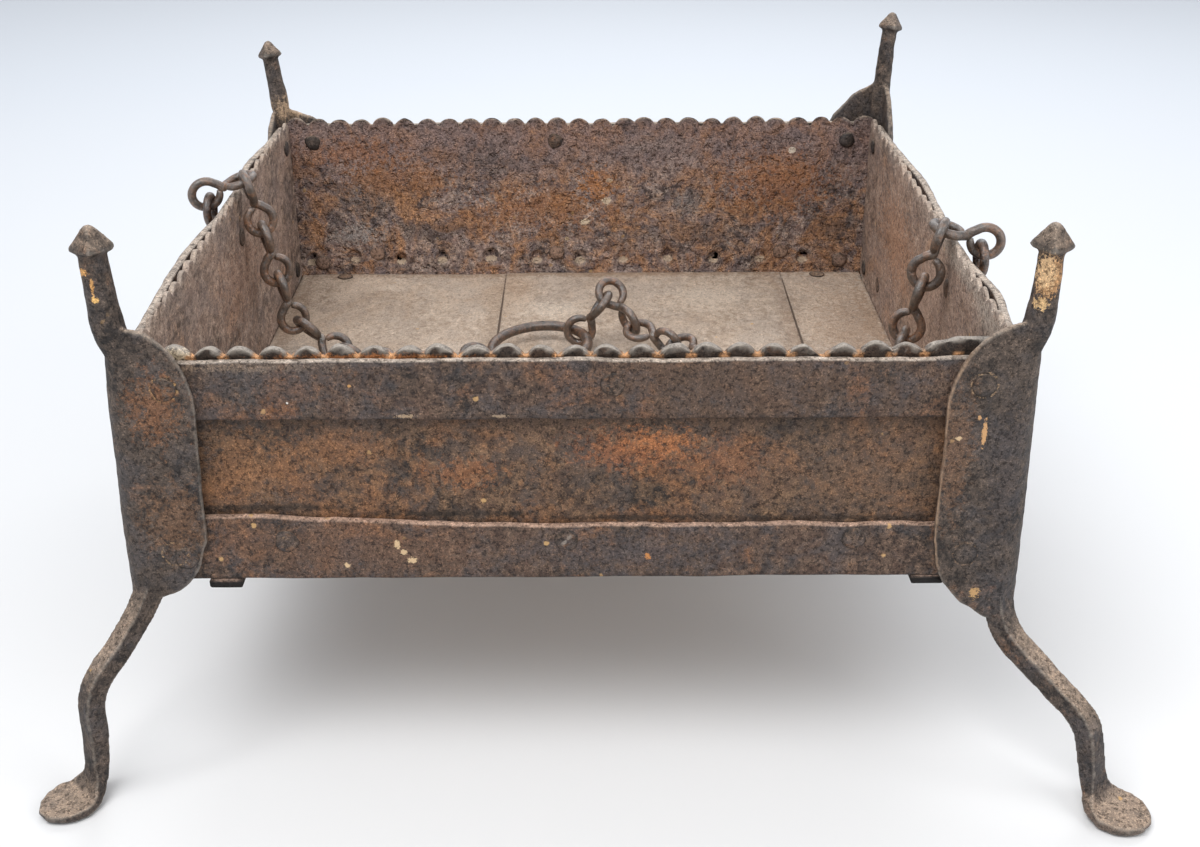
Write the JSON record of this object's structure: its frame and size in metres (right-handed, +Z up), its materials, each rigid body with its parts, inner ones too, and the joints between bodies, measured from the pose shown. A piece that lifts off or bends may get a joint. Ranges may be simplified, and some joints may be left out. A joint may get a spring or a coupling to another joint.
{
  "type": "portable brazier",
  "caption": "Square wrought-iron fire pan on splayed legs, with scalloped banded walls, corner finials and chains joined at a carrying ring.",
  "frame": {"origin": "on the ground, below the middle of the bounding box that the four feet and the finials fill", "axes": "+Z up, +X to the right and -Y towards the viewer of the pictured front wall"},
  "size_m": [0.466, 0.477, 0.2517],
  "materials": {
    "wall_sheet": "rusty, pitted hand-forged sheet iron",
    "band": "dark worn wrought iron",
    "floor": "dusty, pitted sheet iron",
    "leg": "dark worn wrought iron",
    "rivet": "hammered iron",
    "staple": "hammered iron",
    "bearer": "dark wrought iron",
    "chain": "rusty wrought iron wire",
    "ring": "rusty wrought iron"
  },
  "bodies": {
    "fire_pan": {"wall_sheet_front": "wall_sheet", "wall_sheet_back": "wall_sheet", "wall_sheet_left": "wall_sheet", "wall_sheet_right": "wall_sheet", "top_band_front": "band", "top_band_back": "band", "top_band_left": "band", "top_band_right": "band", "bottom_band_front": "band", "bottom_band_back": "band", "bottom_band_left": "band", "bottom_band_right": "band", "floor_plate_left": "floor", "floor_plate_middle": "floor", "floor_plate_right": "floor", "bearer_left": "bearer", "bearer_right": "bearer", "corner_leg_front_left": "leg", "corner_leg_front_right": "leg", "corner_leg_back_left": "leg", "corner_leg_back_right": "leg", "leg_rivets_front_left": "rivet", "leg_rivets_front_right": "rivet", "leg_rivets_back_left": "rivet", "leg_rivets_back_right": "rivet", "top_band_rivets": "rivet", "bottom_band_rivets": "rivet", "bearer_rivets": "rivet", "staple_left": "staple", "staple_right": "staple", "staple_rivets": "rivet"},
    "left_link_1": {"left_link_1": "chain"},
    "left_link_2": {"left_link_2": "chain"},
    "left_link_3": {"left_link_3": "chain"},
    "left_link_4": {"left_link_4": "chain"},
    "left_link_5": {"left_link_5": "chain"},
    "left_link_6": {"left_link_6": "chain"},
    "left_link_7": {"left_link_7": "chain"},
    "left_link_8": {"left_link_8": "chain"},
    "right_link_1": {"right_link_1": "chain"},
    "right_link_2": {"right_link_2": "chain"},
    "right_link_3": {"right_link_3": "chain"},
    "right_link_4": {"right_link_4": "chain"},
    "right_link_5": {"right_link_5": "chain"},
    "right_link_6": {"right_link_6": "chain"},
    "right_link_7": {"right_link_7": "chain"},
    "right_link_8": {"right_link_8": "chain"},
    "right_link_9": {"right_link_9": "chain"},
    "right_link_10": {"right_link_10": "chain"},
    "right_link_11": {"right_link_11": "chain"},
    "right_link_12": {"right_link_12": "chain"},
    "carrying_ring": {"carrying_ring": "ring"}
  },
  "joints": [
    {"name": "left_link_1_swing", "type": "hinge", "parent": "fire_pan", "child": "left_link_1", "pos_m": [-0.1935, 0.027, 0.1914], "axis": [0.3256, -0.9455, 0], "range_deg": [0, 40]},
    {"name": "left_link_2_swing", "type": "hinge", "parent": "left_link_1", "child": "left_link_2", "pos_m": [-0.17384, 0.02727, 0.19878], "axis": [-0.8871, -0.3956, -0.2377], "range_deg": [0, 15]},
    {"name": "left_link_3_swing", "type": "hinge", "parent": "left_link_2", "child": "left_link_3", "pos_m": [-0.16795, 0.02713, 0.17655], "axis": [0.3865, -0.9186, 0.0822], "range_deg": [0, 20]},
    {"name": "left_link_4_swing", "type": "hinge", "parent": "left_link_3", "child": "left_link_4", "pos_m": [-0.16217, 0.02718, 0.14946], "axis": [0.385, -0.9186, 0.0889], "range_deg": [0, 20]},
    {"name": "left_link_5_swing", "type": "hinge", "parent": "left_link_4", "child": "left_link_5", "pos_m": [-0.1553, 0.02949, 0.12273], "axis": [0.221, -0.8277, 0.5158], "range_deg": [0, 20]},
    {"name": "left_link_6_swing", "type": "hinge", "parent": "left_link_5", "child": "left_link_6", "pos_m": [-0.12873, 0.02552, 0.10496], "axis": [-0.4228, -0.7127, -0.5597], "range_deg": [0, 20]},
    {"name": "left_link_7_swing", "type": "hinge", "parent": "left_link_6", "child": "left_link_7", "pos_m": [-0.1108, 0.01517, 0.1046], "axis": [-0.2674, -0.4921, 0.8285], "range_deg": [0, 20]},
    {"name": "left_link_8_swing", "type": "hinge", "parent": "left_link_7", "child": "left_link_8", "pos_m": [-0.07906, 0.00549, 0.10805], "axis": [0.3232, -0.7534, -0.5727], "range_deg": [0, 20]},
    {"name": "right_link_1_swing", "type": "hinge", "parent": "fire_pan", "child": "right_link_1", "pos_m": [0.1825, -0.052, 0.1914], "axis": [0.1564, 0.9877, 0], "range_deg": [0, 40]},
    {"name": "right_link_2_swing", "type": "hinge", "parent": "right_link_1", "child": "right_link_2", "pos_m": [0.16224, -0.05484, 0.19868], "axis": [0.8975, -0.3697, -0.2405], "range_deg": [0, 12]},
    {"name": "right_link_3_swing", "type": "hinge", "parent": "right_link_2", "child": "right_link_3", "pos_m": [0.15631, -0.05488, 0.17646], "axis": [0.3587, 0.9292, -0.0894], "range_deg": [0, 15]},
    {"name": "right_link_4_swing", "type": "hinge", "parent": "right_link_3", "child": "right_link_4", "pos_m": [0.14956, -0.05487, 0.14959], "axis": [0.3592, 0.9292, -0.0875], "range_deg": [0, 15]},
    {"name": "right_link_5_swing", "type": "hinge", "parent": "right_link_4", "child": "right_link_5", "pos_m": [0.14151, -0.05328, 0.12351], "axis": [0.3884, 0.8006, -0.4563], "range_deg": [0, 15]},
    {"name": "right_link_6_swing", "type": "hinge", "parent": "right_link_5", "child": "right_link_6", "pos_m": [0.12102, -0.05184, 0.10858], "axis": [0.3884, 0.8006, -0.4563], "range_deg": [0, 15]},
    {"name": "right_link_7_swing", "type": "hinge", "parent": "right_link_6", "child": "right_link_7", "pos_m": [0.09557, -0.04159, 0.10474], "axis": [0.3382, 0.5508, -0.763], "range_deg": [0, 15]},
    {"name": "right_link_8_swing", "type": "hinge", "parent": "right_link_7", "child": "right_link_8", "pos_m": [0.07497, -0.02316, 0.10543], "axis": [0.398, 0.4268, -0.8121], "range_deg": [0, 15]},
    {"name": "right_link_9_swing", "type": "hinge", "parent": "right_link_8", "child": "right_link_9", "pos_m": [0.06187, 0.00108, 0.10739], "axis": [0.4827, 0.2785, -0.8303], "range_deg": [0, 15]},
    {"name": "right_link_10_swing", "type": "hinge", "parent": "right_link_9", "child": "right_link_10", "pos_m": [0.04857, 0.02535, 0.10864], "axis": [0.3168, 0.2307, -0.92], "range_deg": [0, 15]},
    {"name": "right_link_11_swing", "type": "hinge", "parent": "right_link_10", "child": "right_link_11", "pos_m": [0.02251, 0.04745, 0.11186], "axis": [0.8216, 0.4982, 0.2772], "range_deg": [0, 15]},
    {"name": "right_link_12_swing", "type": "hinge", "parent": "right_link_11", "child": "right_link_12", "pos_m": [0.01163, 0.05725, 0.1265], "axis": [-0.2211, 0.7266, -0.6505], "range_deg": [0, 15]},
    {"name": "carrying_ring_swing", "type": "hinge", "parent": "right_link_12", "child": "carrying_ring", "pos_m": [-0.00558, 0.0513, 0.10579], "axis": [-0.5592, 0.829, 0], "range_deg": [0, 60]}
  ]
}
